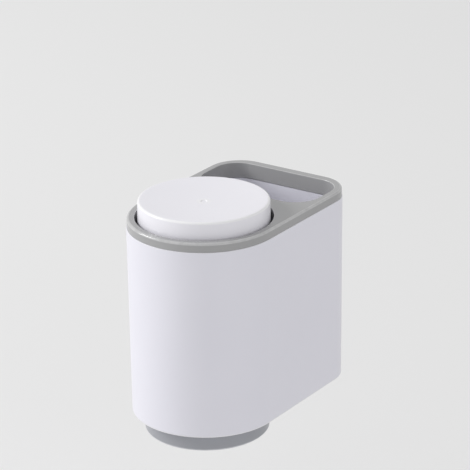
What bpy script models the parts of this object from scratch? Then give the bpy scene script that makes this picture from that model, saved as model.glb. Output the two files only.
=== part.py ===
"""Wall-hung toothbrush cup holder: a moulded housing with a tumbler stored upside down.

Metres, +Z up. The wall is the plane Y = 0 and the object hangs in front of it, towards -Y.
The origin is the middle of the adhesive film's back face.
"""

import math

import bmesh
import bpy
from mathutils import Matrix

# Gaps between pieces
SEAT_GAP = 0.0003
TUMBLER_GAP = 0.0007
SLIDE_GAP = 0.0005

# Housing, measured at its top edge unless said otherwise
SHELL_WIDTH = 0.080
SHELL_DEPTH = 0.1224
SHELL_HEIGHT = 0.1022
SHELL_LEAN = 0.00065
SHELL_WALL = 0.0022
SHELL_LIP = 0.0018
REAR_WALL = 0.0057
REAR_LIP = 0.0033
REAR_CORNER_RADIUS = 0.0183
FLOOR_THICKNESS = 0.0025
OUTER_EDGE_RADIUS = 0.0012
INNER_EDGE_RADIUS = 0.0020

# Top cover
BAND_HEIGHT = 0.0049
COVER_INSET = 0.0003
COVER_EDGE_RADIUS = 0.0013
OPENING_EDGE_RADIUS = 0.0004
DECK_THICKNESS = 0.0024
DECK_HOLLOW_START = 0.012
SKIRT_REACH = 0.0085
SKIRT_WALL = 0.0022
DECK_LAND = 0.0029
BAY_CORNER_RADIUS = 0.0145
BAY_REAR_CORNER_RADIUS = 0.0125
SNAP_RADIUS = 0.0008
SNAP_LENGTH = 0.008
SNAP_DROP = 0.0068
SNAP_SPACING = 0.040
DECK_RIB_WIDTH = 0.0012
DECK_RIB_DEPTH = 0.0050
DECK_RIB_SPACING = 0.052

# Divider between the cup well and the brush bay
DIVIDER_WALL = 0.0012
DIVIDER_SETBACK = 0.0001
RIB_THICKNESS = 0.0012
FLOOR_RIB_HEIGHT = 0.0017
STOP_RIB_REACH = 0.0018
DIVIDER_LEG = 0.0040

# Drain slots in the floor of the brush bay
SLOT_COUNT = 5
SLOT_WIDTH = 0.0032
SLOT_LENGTH = 0.018
SLOT_PITCH = 0.0095

# Tumbler, stored with its mouth down
TUMBLER_RISE = 0.0089
TUMBLER_TAPER = 0.0010
TUMBLER_WALL = 0.0018
TUMBLER_BASE = 0.0022
TUMBLER_EDGE_RADIUS = 0.0012
FOOT_RING_WIDTH = 0.0008
FOOT_DISH_DEPTH = 0.0012
GATE_MARK_RADIUS = 0.0009
GATE_MARK_HEIGHT = 0.0002

# Drip cup under the tumbler
DRIP_CUP_DROP = 0.0104
DRIP_CUP_WALL = 0.0016
DRIP_CUP_EDGE_RADIUS = 0.0012
FLANGE_WIDTH = 0.0019
FLANGE_THICKNESS = 0.0014
FLANGE_INSET = 0.0004
PAD_COUNT = 6
PAD_HEIGHT = 0.0008
PAD_LENGTH = 0.009
PAD_WIDTH = 0.0022
FLANGE_RING_WALL = 0.0012
FLANGE_RING_HEIGHT = 0.0017

# Hook plate and adhesive film on the wall
FILM_WIDTH = 0.052
FILM_HEIGHT = 0.080
FILM_THICKNESS = 0.0006
FILM_CORNER_RADIUS = 0.006
HOOK_DROP = 0.045
PLATE_HEIGHT = 0.026
PLATE_THICKNESS = 0.0014
PLATE_BORDER = 0.0040
PLATE_CORNER_RADIUS = 0.004
LUG_SPACING = 0.018
LUG_HEAD_WIDTH = 0.010
LUG_HEAD_HEIGHT = 0.010
LUG_HEAD_THICKNESS = 0.0014
LUG_EDGE_RADIUS = 0.0004
LUG_NECK_WIDTH = 0.0050
LUG_NECK_HEIGHT = 0.0080
LIP_THICKNESS = 0.0009
LIFT_TRAVEL = 0.013

# Hollows in the thick rear wall, above and below the hook recess
CORE_DEPTH = 0.0036
CORE_WIDTH = 0.0105
CORE_PITCH = 0.0130
CORE_COUNT = 3
CORE_RADIUS = 0.0015
UPPER_CORE_HEIGHT = 0.013
LOWER_CORE_HEIGHT = 0.020
CORE_MARGIN = 0.0030

# Facets of the round forms
FRONT_STEPS = 22
CORNER_STEPS = 9
EDGE_STEPS = 3
DISH_STEPS = 5
TURN_STEPS = 60
CUT_PAST = 0.001
LEAST_FLAT = 0.001
SAME_POINT = 0.000001

# Places that follow from the sizes above
HALF_WIDTH = SHELL_WIDTH / 2
REAR_FACE = -(FILM_THICKNESS + SEAT_GAP)
FRONT_FACE = REAR_FACE - SHELL_DEPTH
CUP_Y = FRONT_FACE + HALF_WIDTH
RIM_Z = HOOK_DROP
SHELL_TOP = RIM_Z - BAND_HEIGHT - SEAT_GAP
SHELL_BOTTOM = SHELL_TOP - SHELL_HEIGHT
FLOOR_Z = SHELL_BOTTOM + FLOOR_THICKNESS
SKIRT_BOTTOM = RIM_Z - SKIRT_REACH
LEDGE_Z = SKIRT_BOTTOM - SEAT_GAP
SKIRT_SIDE = SHELL_LIP + SEAT_GAP
SKIRT_REAR = REAR_LIP + SEAT_GAP
WELL_RADIUS = HALF_WIDTH - SKIRT_SIDE - SKIRT_WALL
BAY_HALF_WIDTH = WELL_RADIUS
BAY_FRONT = CUP_Y + WELL_RADIUS + DECK_LAND
BAY_REAR = REAR_FACE - SKIRT_REAR - SKIRT_WALL
BAY_DEPTH = BAY_REAR - BAY_FRONT
MOUTH_RADIUS = WELL_RADIUS - TUMBLER_GAP
FOOT_RADIUS = MOUTH_RADIUS - TUMBLER_TAPER
FLANGE_RADIUS = MOUTH_RADIUS - FLANGE_INSET
DRIP_CUP_RADIUS = FLANGE_RADIUS - FLANGE_WIDTH
FLANGE_Z = FLOOR_Z + SEAT_GAP
MOUTH_Z = FLANGE_Z + FLANGE_THICKNESS + PAD_HEIGHT + SEAT_GAP
TUMBLER_HEIGHT = RIM_Z + TUMBLER_RISE - MOUTH_Z
PLATE_WIDTH = LUG_SPACING + LUG_HEAD_WIDTH + 2 * PLATE_BORDER
PLATE_BACK = -(FILM_THICKNESS + SEAT_GAP)
PLATE_FRONT = PLATE_BACK - PLATE_THICKNESS
LIP_BACK = PLATE_FRONT - SEAT_GAP
LIP_FRONT = LIP_BACK - LIP_THICKNESS
HEAD_BACK = LIP_FRONT - SEAT_GAP
HEAD_FRONT = HEAD_BACK - LUG_HEAD_THICKNESS
POCKET_FRONT = HEAD_FRONT - SEAT_GAP


def start_scene():
    """Empties the file and makes one collection for the pieces and one for the cutters."""
    for old in list(bpy.data.objects):
        bpy.data.objects.remove(old, do_unlink=True)
    made = []
    for name in ("toothbrush_cup_holder", "cutters"):
        collection = bpy.data.collections.new(name)
        bpy.context.scene.collection.children.link(collection)
        made.append(collection)
    return made


PIECES, CUTTERS = start_scene()


def plastic(name, colour, roughness, alpha=1.0):
    """A moulded plastic with its colour and polish."""
    material = bpy.data.materials.new(name)
    material.use_nodes = True
    shader = material.node_tree.nodes["Principled BSDF"]
    shader.inputs["Base Color"].default_value = (*colour, 1.0)
    shader.inputs["Roughness"].default_value = roughness
    shader.inputs["Metallic"].default_value = 0.0
    shader.inputs["Alpha"].default_value = alpha
    return material


WHITE = plastic("white_abs", (0.80, 0.80, 0.81), 0.28)
GREY = plastic("grey_abs", (0.38, 0.38, 0.385), 0.30)
COOL_GREY = plastic("cool_grey_polypropylene", (0.37, 0.38, 0.41), 0.38)
NATURAL = plastic("natural_abs", (0.78, 0.78, 0.77), 0.35)
CLEAR = plastic("clear_film", (0.85, 0.88, 0.88), 0.15, alpha=0.4)


def arc(centre_x, centre_y, radius, start, turn, steps):
    """Points along an arc, from the angle start through turn, both in degrees."""
    angles = [math.radians(start + turn * step / steps) for step in range(steps + 1)]
    return [
        (centre_x + radius * math.cos(angle), centre_y + radius * math.sin(angle))
        for angle in angles
    ]


def rounded_plan(half_width, front, rear, front_radius, rear_radius, front_steps):
    """Closed outline, seen from above: flat sides and rear, with each corner an arc."""
    rear_x, rear_y = half_width - rear_radius, rear - rear_radius
    front_x, front_y = half_width - front_radius, front + front_radius
    corners = (
        arc(rear_x, rear_y, rear_radius, 0, 90, CORNER_STEPS)
        + arc(-rear_x, rear_y, rear_radius, 90, 90, CORNER_STEPS)
        + arc(-front_x, front_y, front_radius, 180, 90, front_steps)
        + arc(front_x, front_y, front_radius, 270, 90, front_steps)
    )
    return [
        point for index, point in enumerate(corners)
        if math.dist(point, corners[index - 1]) > SAME_POINT
    ]


def bay_corner(radius):
    """A corner of the brush bay, no rounder than the bay has room for."""
    return min(radius, (BAY_DEPTH - LEAST_FLAT) / 2)


def housing_plan(side, rear):
    """The U-shaped plan of the housing, set in from the outside by side and by rear."""
    half = HALF_WIDTH - side
    corner = REAR_CORNER_RADIUS - side
    return rounded_plan(half, FRONT_FACE + side, REAR_FACE - rear, half, corner, FRONT_STEPS)


def bay_plan(outset):
    """The plan of the brush bay's opening, grown by outset."""
    rear_corner = bay_corner(BAY_REAR_CORNER_RADIUS)
    return rounded_plan(
        BAY_HALF_WIDTH + outset, BAY_FRONT - outset, BAY_REAR + outset,
        bay_corner(BAY_CORNER_RADIUS) + outset, rear_corner + outset, CORNER_STEPS,
    )


def lean(z):
    """How far the moulding draft has brought the housing's sides in at height z."""
    return SHELL_LEAN * (RIM_Z - z) / (RIM_Z - SHELL_BOTTOM)


def quarter_round(radius):
    """(inset, rise) pairs from the face under a rounded edge to the face beside it."""
    return [(radius + x, radius + y) for x, y in arc(0, 0, radius, 270, -90, EDGE_STEPS)]


def as_object(name, mesh, collection, material=None, location=(0, 0, 0)):
    """Puts a mesh in a collection as an object, shaded smooth up to its real edges."""
    mesh.shade_smooth()
    mesh.set_sharp_from_angle(angle=math.radians(35))
    piece = bpy.data.objects.new(name, mesh)
    piece.location = location
    collection.objects.link(piece)
    if material is not None:
        mesh.materials.append(material)
    if collection is CUTTERS:
        piece.hide_render = True
        piece.display_type = "WIRE"
    return piece


def from_bmesh(name, shape, collection, material=None, location=(0, 0, 0)):
    """Turns a finished bmesh into an object with its faces pointing out."""
    bmesh.ops.recalc_face_normals(shape, faces=shape.faces)
    mesh = bpy.data.meshes.new(name)
    shape.to_mesh(mesh)
    shape.free()
    return as_object(name, mesh, collection, material, location)


def loft(name, rings, collection, material=None):
    """A closed solid through (plan, height) rings of equal point counts, lowest first."""
    shape = bmesh.new()
    loops = [[shape.verts.new((x, y, z)) for x, y in plan] for plan, z in rings]
    shape.faces.new(loops[0])
    shape.faces.new(loops[-1])
    for lower, upper in zip(loops, loops[1:]):
        for index in range(len(lower)):
            after = (index + 1) % len(lower)
            shape.faces.new((lower[index], lower[after], upper[after], upper[index]))
    return from_bmesh(name, shape, collection, material)


def block(name, low, high, edge_radius=0.0, collection=None, material=None):
    """A box between two corners, with its edges rounded if edge_radius is given."""
    shape = bmesh.new()
    bmesh.ops.create_cube(shape, size=1.0)
    size = [b - a for a, b in zip(low, high)]
    middle = [(a + b) / 2 for a, b in zip(low, high)]
    bmesh.ops.scale(shape, vec=size, verts=shape.verts)
    bmesh.ops.translate(shape, vec=middle, verts=shape.verts)
    if edge_radius > 0:
        bmesh.ops.bevel(
            shape, geom=shape.edges[:], offset=edge_radius, affect="EDGES",
            segments=2, profile=0.5, material=-1,
        )
    return from_bmesh(name, shape, collection or CUTTERS, material)


def turned(name, profile, collection, material=None, location=(0, 0, 0)):
    """A profile of (radius, height) pairs turned round Z, listed down its outer side."""
    mesh = bpy.data.meshes.new(name)
    points = [(radius, 0.0, height) for radius, height in profile]
    closed = profile[0][0] > 0
    edges = [(i, i + 1) for i in range(len(points) - 1)]
    if closed:
        edges.append((len(points) - 1, 0))
    mesh.from_pydata(points, edges, [])
    piece = as_object(name, mesh, collection, material, location)
    screw = piece.modifiers.new("turn", "SCREW")
    screw.steps = TURN_STEPS
    screw.render_steps = TURN_STEPS
    screw.use_merge_vertices = True
    screw.merge_threshold = 0.00001
    return piece


def combine(target, other, operation):
    """Adds, cuts or keeps the common part, with a live exact Boolean."""
    modifier = target.modifiers.new(f"{operation.lower()}_{other.name}", "BOOLEAN")
    modifier.operation = operation
    modifier.object = other
    modifier.solver = "EXACT"


def cut(target, *others):
    for other in others:
        combine(target, other, "DIFFERENCE")


def fuse(target, *others):
    for other in others:
        combine(target, other, "UNION")


def rounded_rectangle(width, height, radius):
    """Rounded rectangle about the origin."""
    return rounded_plan(width / 2, -height / 2, height / 2, radius, radius, CORNER_STEPS)


def flat_piece(name, outline, thickness, place, collection, material=None):
    """A flat outline given its thickness, half to each side, and put in its place."""
    curve = bpy.data.curves.new(name, "CURVE")
    curve.dimensions = "2D"
    curve.fill_mode = "BOTH"
    curve.extrude = thickness / 2
    spline = curve.splines.new("POLY")
    spline.points.add(len(outline) - 1)
    for point, (x, y) in zip(spline.points, outline):
        point.co = (x, y, 0, 1)
    spline.use_cyclic_u = True
    drawn = bpy.data.objects.new(name, curve)
    collection.objects.link(drawn)
    drawn.matrix_world = place
    bpy.context.view_layer.update()
    graph = bpy.context.evaluated_depsgraph_get()
    mesh = bpy.data.meshes.new_from_object(drawn.evaluated_get(graph))
    mesh.transform(drawn.matrix_world)
    bpy.data.objects.remove(drawn, do_unlink=True)
    shape = bmesh.new()
    shape.from_mesh(mesh)
    bmesh.ops.remove_doubles(shape, verts=shape.verts, dist=0.00001)
    bpy.data.meshes.remove(mesh)
    return from_bmesh(name, shape, collection, material)


def against_wall(x, z, back, front):
    """Stands a flat piece up parallel to the wall, centred between two depths."""
    turn = Matrix.Rotation(math.radians(90), 4, "X")
    return Matrix.Translation((x, (back + front) / 2, z)) @ turn


# Outer shell: one white moulding, open at the top
def cavity_rings(gap):
    """Rings of the shell's inside, less a gap, with the ledge that the cover's skirt meets."""
    rings = []
    floor = FLOOR_Z + gap
    for inset, rise in quarter_round(INNER_EDGE_RADIUS):
        side = SHELL_WALL + lean(floor) + gap + inset
        rings.append((housing_plan(side, REAR_WALL + gap + inset), floor + rise))
    ledge_side = SHELL_WALL + lean(LEDGE_Z) + gap
    rings.append((housing_plan(ledge_side, REAR_WALL + gap), LEDGE_Z))
    return rings


def make_shell():
    rings = []
    for inset, rise in quarter_round(OUTER_EDGE_RADIUS):
        plan = housing_plan(lean(SHELL_BOTTOM) + inset, inset)
        rings.append((plan, SHELL_BOTTOM + rise))
    rings.append((housing_plan(lean(SHELL_TOP), 0), SHELL_TOP))
    shell = loft("outer_shell", rings, PIECES, WHITE)
    inside = cavity_rings(0.0)
    seat = housing_plan(SHELL_LIP, REAR_LIP)
    inside += [(seat, LEDGE_Z), (seat, SHELL_TOP + CUT_PAST)]
    cut(shell, loft("shell_inside", inside, CUTTERS))
    return shell


def add_floor_features(shell):
    """The ring round the drip cup's flange, the bars at the divider's foot and the openings."""
    ring_radius = FLANGE_RADIUS + SEAT_GAP
    low = FLOOR_Z - FLOOR_THICKNESS / 2
    high = FLOOR_Z + FLANGE_RING_HEIGHT
    outer = ring_radius + FLANGE_RING_WALL
    profile = [(outer, high), (outer, low), (ring_radius, low), (ring_radius, high)]
    fuse(shell, turned("flange_ring", profile, CUTTERS, location=(0, CUP_Y, 0)))
    divider_rear = BAY_FRONT - DIVIDER_SETBACK
    half = BAY_HALF_WIDTH - bay_corner(BAY_CORNER_RADIUS)
    bars = (
        ("front", CUP_Y + (ring_radius + outer) / 2, divider_rear - DIVIDER_WALL - SEAT_GAP),
        ("rear", divider_rear + SEAT_GAP, divider_rear + SEAT_GAP + RIB_THICKNESS),
    )
    for side, start, end in bars:
        top = FLOOR_Z + FLOOR_RIB_HEIGHT
        fuse(shell, block(f"divider_foot_{side}", (-half, start, low), (half, end, top)))
    opening = DRIP_CUP_RADIUS + SEAT_GAP
    bore = [(0, FLOOR_Z + CUT_PAST), (opening, FLOOR_Z + CUT_PAST),
            (opening, SHELL_BOTTOM - CUT_PAST), (0, SHELL_BOTTOM - CUT_PAST)]
    cut(shell, turned("drip_cup_opening", bore, CUTTERS, location=(0, CUP_Y, 0)))
    outline = rounded_rectangle(SLOT_WIDTH, SLOT_LENGTH, SLOT_WIDTH / 2)
    depth = FLOOR_THICKNESS + 2 * CUT_PAST
    for index in range(SLOT_COUNT):
        x = (index - (SLOT_COUNT - 1) / 2) * SLOT_PITCH
        place = Matrix.Translation((x, (BAY_FRONT + BAY_REAR) / 2, (SHELL_BOTTOM + FLOOR_Z) / 2))
        cut(shell, flat_piece(f"drain_slot_{index + 1}", outline, depth, place, CUTTERS))


def divider_end():
    """The Y at which the divider's straight legs end, behind its bends."""
    return BAY_FRONT + bay_corner(BAY_CORNER_RADIUS) + DIVIDER_LEG


def add_stop_ribs(shell):
    """Upright ribs on both sides, behind the ends of the divider's legs."""
    start = divider_end() + SEAT_GAP
    inner = HALF_WIDTH - SHELL_WALL - lean(SHELL_BOTTOM) - STOP_RIB_REACH
    outer = HALF_WIDTH - SHELL_WALL / 2 - lean(SHELL_BOTTOM)
    for side in (-1, 1):
        low_x, high_x = sorted((side * inner, side * outer))
        fuse(shell, block(
            f"stop_rib_{'left' if side < 0 else 'right'}",
            (low_x, start, FLOOR_Z - FLOOR_THICKNESS / 2),
            (high_x, start + RIB_THICKNESS, LEDGE_Z - SEAT_GAP),
        ))


def snap_beads(name, radius, length):
    """Four beads along the flat sides, centred on the outer face of the cover's skirt."""
    shape = bmesh.new()
    middle = (CUP_Y + REAR_FACE - REAR_CORNER_RADIUS) / 2
    for side in (-1, 1):
        for step in (-0.5, 0.5):
            place = Matrix.Translation((
                side * (HALF_WIDTH - SKIRT_SIDE), middle + step * SNAP_SPACING, RIM_Z - SNAP_DROP,
            ))
            bmesh.ops.create_cone(
                shape, cap_ends=True, segments=16, radius1=radius, radius2=radius,
                depth=length, matrix=place @ Matrix.Rotation(math.radians(90), 4, "X"),
            )
    return from_bmesh(name, shape, CUTTERS)


def add_hook_recess(shell):
    """The hollow behind the rear wall that drops over the hook plate's two lugs."""
    half_plate = PLATE_WIDTH / 2 + SLIDE_GAP
    top = PLATE_HEIGHT / 2 + SLIDE_GAP
    cut(shell, block(
        "plate_recess", (-half_plate, LIP_BACK, -top - LIFT_TRAVEL),
        (half_plate, REAR_FACE + CUT_PAST, top),
    ))
    head_x = LUG_HEAD_WIDTH / 2 + SLIDE_GAP
    head_z = LUG_HEAD_HEIGHT / 2
    neck_x = LUG_NECK_WIDTH / 2 + SLIDE_GAP
    for side in (-1, 1):
        x = side * LUG_SPACING / 2
        word = "left" if side < 0 else "right"
        cut(
            shell,
            block(
                f"lug_pocket_{word}", (x - head_x, POCKET_FRONT, -head_z - LIFT_TRAVEL - SLIDE_GAP),
                (x + head_x, LIP_FRONT, head_z + SLIDE_GAP),
            ),
            block(
                f"lug_entry_{word}",
                (x - head_x, LIP_FRONT - LUG_HEAD_THICKNESS / 2, -head_z - LIFT_TRAVEL - SLIDE_GAP),
                (x + head_x, LIP_BACK + PLATE_THICKNESS / 2, head_z - LIFT_TRAVEL + SLIDE_GAP),
            ),
            block(
                f"lug_slot_{word}",
                (x - neck_x, LIP_FRONT - LUG_HEAD_THICKNESS / 2, -head_z - LIFT_TRAVEL),
                (x + neck_x, LIP_BACK + PLATE_THICKNESS / 2, LUG_NECK_HEIGHT / 2 + SEAT_GAP),
            ),
        )


def add_cores(shell):
    """Moulder's hollows in the thick rear wall, in rows above and below the hook recess."""
    upper = PLATE_HEIGHT / 2 + SLIDE_GAP + CORE_MARGIN + UPPER_CORE_HEIGHT / 2
    lower = -(PLATE_HEIGHT / 2 + SLIDE_GAP + LIFT_TRAVEL + CORE_MARGIN + LOWER_CORE_HEIGHT / 2)
    rows = (("upper", upper, UPPER_CORE_HEIGHT), ("lower", lower, LOWER_CORE_HEIGHT))
    for word, z, height in rows:
        outline = rounded_rectangle(CORE_WIDTH, height, CORE_RADIUS)
        for index in range(CORE_COUNT):
            x = (index - (CORE_COUNT - 1) / 2) * CORE_PITCH
            place = against_wall(x, z, REAR_FACE + CORE_DEPTH, REAR_FACE - CORE_DEPTH)
            name = f"{word}_core_{index + 1}"
            cut(shell, flat_piece(name, outline, 2 * CORE_DEPTH, place, CUTTERS))


# Top cover: the grey rim, deck and skirt in one moulding
def make_cover():
    low = RIM_Z - BAND_HEIGHT
    rings = [(housing_plan(COVER_INSET + lean(low), COVER_INSET), low)]
    for inset, rise in reversed(quarter_round(COVER_EDGE_RADIUS)):
        rings.append((housing_plan(COVER_INSET + inset, COVER_INSET + inset), RIM_Z - rise))
    cover = loft("top_cover", rings, PIECES, GREY)
    skirt = housing_plan(SKIRT_SIDE, SKIRT_REAR)
    skirt_top = RIM_Z - DECK_THICKNESS
    fuse(cover, loft("cover_skirt", [(skirt, SKIRT_BOTTOM), (skirt, skirt_top)], CUTTERS))
    fuse(cover, snap_beads("snap_beads", SNAP_RADIUS, SNAP_LENGTH))
    cut(cover, make_deck_hollow())
    add_deck_ribs(cover)
    bay = [(bay_plan(0), SKIRT_BOTTOM - CUT_PAST)]
    well = [(0, RIM_Z + CUT_PAST), (WELL_RADIUS + OPENING_EDGE_RADIUS, RIM_Z + CUT_PAST)]
    for inset, rise in reversed(quarter_round(OPENING_EDGE_RADIUS)):
        bay.append((bay_plan(inset), RIM_Z - rise))
    bay.append((bay_plan(OPENING_EDGE_RADIUS), RIM_Z + CUT_PAST))
    for inset, rise in quarter_round(OPENING_EDGE_RADIUS):
        well.append((WELL_RADIUS + inset, RIM_Z - rise))
    well += [(WELL_RADIUS, SKIRT_BOTTOM - CUT_PAST), (0, SKIRT_BOTTOM - CUT_PAST)]
    cut(cover, loft("bay_opening", bay, CUTTERS))
    cut(cover, turned("well_opening", well, CUTTERS, location=(0, CUP_Y, 0)))
    return cover


def make_deck_hollow():
    """The hollow under the deck, between the cup well and the skirt round the brush bay."""
    start = CUP_Y + DECK_HOLLOW_START
    end = BAY_FRONT + bay_corner(BAY_CORNER_RADIUS)
    under = RIM_Z - DECK_THICKNESS
    hollow = block(
        "deck_hollow", (-WELL_RADIUS, start, SKIRT_BOTTOM - CUT_PAST), (WELL_RADIUS, end, under)
    )
    wall = bay_plan(SKIRT_WALL)
    kept = [(wall, SKIRT_BOTTOM - 2 * CUT_PAST), (wall, RIM_Z)]
    cut(hollow, loft("bay_wall", kept, CUTTERS))
    return hollow


def add_deck_ribs(cover):
    """Two ribs that stiffen the corners of the deck from below."""
    for side in (-1, 1):
        x = side * DECK_RIB_SPACING / 2
        fuse(cover, block(
            f"deck_rib_{'left' if side < 0 else 'right'}",
            (x - DECK_RIB_WIDTH / 2, CUP_Y, RIM_Z - DECK_THICKNESS - DECK_RIB_DEPTH),
            (x + DECK_RIB_WIDTH / 2, BAY_FRONT, RIM_Z - DECK_THICKNESS / 2),
        ))


# Divider: a thin bent wall, trapped between the floor and the cover's skirt
def make_divider():
    middle = DIVIDER_SETBACK + DIVIDER_WALL / 2
    half = BAY_HALF_WIDTH + middle
    radius = bay_corner(BAY_CORNER_RADIUS) + middle
    corner_x, corner_y = half - radius, BAY_FRONT - middle + radius
    path = [(half, divider_end())]
    path += arc(corner_x, corner_y, radius, 0, -90, CORNER_STEPS)
    path += arc(-corner_x, corner_y, radius, 270, -90, CORNER_STEPS)
    path.append((-half, divider_end()))
    shape = bmesh.new()
    low = [shape.verts.new((x, y, SHELL_BOTTOM)) for x, y in path]
    foot = [shape.edges.new(pair) for pair in zip(low, low[1:])]
    raised = bmesh.ops.extrude_edge_only(shape, edges=foot)["geom"]
    tops = [item for item in raised if isinstance(item, bmesh.types.BMVert)]
    bmesh.ops.translate(shape, vec=(0, 0, RIM_Z - SHELL_BOTTOM), verts=tops)
    divider = from_bmesh("divider_wall", shape, PIECES, WHITE)
    wall = divider.modifiers.new("wall", "SOLIDIFY")
    wall.thickness = DIVIDER_WALL
    wall.offset = 0.0
    wall.use_even_offset = True
    combine(divider, loft("divider_room", cavity_rings(SEAT_GAP), CUTTERS), "INTERSECT")
    return divider


# Tumbler: a plain tapered cup, foot up, with a dished foot and a gate mark at its centre
def make_tumbler():
    edge = TUMBLER_EDGE_RADIUS
    dish_radius = FOOT_RADIUS - edge - FOOT_RING_WIDTH
    dish = TUMBLER_HEIGHT - FOOT_DISH_DEPTH
    profile = [(0, dish + GATE_MARK_HEIGHT), (GATE_MARK_RADIUS, dish + GATE_MARK_HEIGHT)]
    for step in range(DISH_STEPS + 1):
        share = step / DISH_STEPS
        radius = GATE_MARK_RADIUS + (dish_radius - GATE_MARK_RADIUS) * share
        profile.append((radius, dish + FOOT_DISH_DEPTH * share ** 2))
    profile += arc(FOOT_RADIUS - edge, TUMBLER_HEIGHT - edge, edge, 90, -90, EDGE_STEPS)
    lip = TUMBLER_WALL / 2
    profile += arc(MOUTH_RADIUS - lip, lip, lip, 0, -180, 2 * EDGE_STEPS)
    inner_top = dish - TUMBLER_BASE
    inner_radius = FOOT_RADIUS - TUMBLER_WALL
    profile += arc(inner_radius - edge, inner_top - edge, edge, 0, 90, EDGE_STEPS)
    profile.append((0, inner_top))
    return turned("tumbler", profile, PIECES, WHITE, location=(0, CUP_Y, MOUTH_Z))


# Drip cup: drops in from above and hangs by its flange, through the hole in the floor
def make_drip_cup():
    edge = DRIP_CUP_EDGE_RADIUS
    bottom = SHELL_BOTTOM - DRIP_CUP_DROP - FLANGE_Z
    inner = DRIP_CUP_RADIUS - DRIP_CUP_WALL
    inner_floor = bottom + DRIP_CUP_WALL
    profile = [(0, inner_floor)]
    profile += arc(inner - edge, inner_floor + edge, edge, 270, 90, EDGE_STEPS)
    profile += [(inner, FLANGE_THICKNESS), (FLANGE_RADIUS, FLANGE_THICKNESS), (FLANGE_RADIUS, 0)]
    profile.append((DRIP_CUP_RADIUS, 0))
    profile += arc(DRIP_CUP_RADIUS - edge, bottom + edge, edge, 0, -90, EDGE_STEPS)
    profile.append((0, bottom))
    drip_cup = turned("drip_cup", profile, PIECES, COOL_GREY, location=(0, CUP_Y, FLANGE_Z))
    fuse(drip_cup, make_flange_pads())
    return drip_cup


def make_flange_pads():
    """Low pads that hold the tumbler's mouth off the flange, so that it drains and dries."""
    shape = bmesh.new()
    reach = FLANGE_RADIUS - SEAT_GAP - PAD_WIDTH / 2
    place = Matrix.Translation((0, reach, FLANGE_THICKNESS))
    size = Matrix.Diagonal((PAD_LENGTH, PAD_WIDTH, 2 * PAD_HEIGHT, 1))
    for index in range(PAD_COUNT):
        turn = Matrix.Rotation(math.radians(360 * index / PAD_COUNT), 4, "Z")
        bmesh.ops.create_cube(shape, size=1.0, matrix=turn @ place @ size)
    return from_bmesh("flange_pads", shape, CUTTERS, location=(0, CUP_Y, FLANGE_Z))


# Hook plate and film: what stays on the wall when the holder is lifted off
def make_wall_fixing():
    plate = flat_piece(
        "hook_plate", rounded_rectangle(PLATE_WIDTH, PLATE_HEIGHT, PLATE_CORNER_RADIUS),
        PLATE_THICKNESS, against_wall(0, 0, PLATE_BACK, PLATE_FRONT), PIECES, NATURAL,
    )
    for side, word in ((-1, "left"), (1, "right")):
        x = side * LUG_SPACING / 2
        fuse(
            plate,
            block(
                f"lug_neck_{word}",
                (x - LUG_NECK_WIDTH / 2, (HEAD_BACK + HEAD_FRONT) / 2, -LUG_NECK_HEIGHT / 2),
                (x + LUG_NECK_WIDTH / 2, (PLATE_BACK + PLATE_FRONT) / 2, LUG_NECK_HEIGHT / 2),
            ),
            block(
                f"lug_head_{word}", (x - LUG_HEAD_WIDTH / 2, HEAD_FRONT, -LUG_HEAD_HEIGHT / 2),
                (x + LUG_HEAD_WIDTH / 2, HEAD_BACK, LUG_HEAD_HEIGHT / 2), LUG_EDGE_RADIUS,
            ),
        )
    flat_piece(
        "adhesive_film", rounded_rectangle(FILM_WIDTH, FILM_HEIGHT, FILM_CORNER_RADIUS),
        FILM_THICKNESS, against_wall(0, 0, 0, -FILM_THICKNESS), PIECES, CLEAR,
    )


SHELL = make_shell()
add_floor_features(SHELL)
add_stop_ribs(SHELL)
cut(SHELL, snap_beads("snap_hollows", SNAP_RADIUS + SEAT_GAP, SNAP_LENGTH + 2 * SEAT_GAP))
add_hook_recess(SHELL)
add_cores(SHELL)
make_cover()
make_divider()
make_tumbler()
make_drip_cup()
make_wall_fixing()
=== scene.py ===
"""Finish of a wall-hung toothbrush cup holder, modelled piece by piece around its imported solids."""

import math

import bmesh
import bpy
from mathutils import Matrix, Vector


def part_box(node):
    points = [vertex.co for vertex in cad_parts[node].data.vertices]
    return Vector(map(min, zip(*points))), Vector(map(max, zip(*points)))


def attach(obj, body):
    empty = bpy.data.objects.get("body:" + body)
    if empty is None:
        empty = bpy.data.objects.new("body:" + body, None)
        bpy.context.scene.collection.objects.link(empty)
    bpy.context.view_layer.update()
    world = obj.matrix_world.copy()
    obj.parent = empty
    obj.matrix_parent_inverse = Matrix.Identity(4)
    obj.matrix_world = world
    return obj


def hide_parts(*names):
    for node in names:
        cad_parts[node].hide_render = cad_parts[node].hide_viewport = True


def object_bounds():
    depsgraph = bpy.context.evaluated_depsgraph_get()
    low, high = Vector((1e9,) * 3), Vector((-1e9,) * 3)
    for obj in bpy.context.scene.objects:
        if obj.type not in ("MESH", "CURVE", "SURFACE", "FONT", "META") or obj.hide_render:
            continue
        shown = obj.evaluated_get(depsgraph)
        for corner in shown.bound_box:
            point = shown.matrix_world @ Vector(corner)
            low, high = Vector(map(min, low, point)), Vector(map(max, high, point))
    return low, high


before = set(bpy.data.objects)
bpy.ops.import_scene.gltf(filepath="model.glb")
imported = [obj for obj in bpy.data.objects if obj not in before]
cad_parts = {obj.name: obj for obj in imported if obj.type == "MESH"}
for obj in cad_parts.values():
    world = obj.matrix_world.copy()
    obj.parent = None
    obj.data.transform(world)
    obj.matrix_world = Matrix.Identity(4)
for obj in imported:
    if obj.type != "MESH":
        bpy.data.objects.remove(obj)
cad_low, cad_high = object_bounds()


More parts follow.
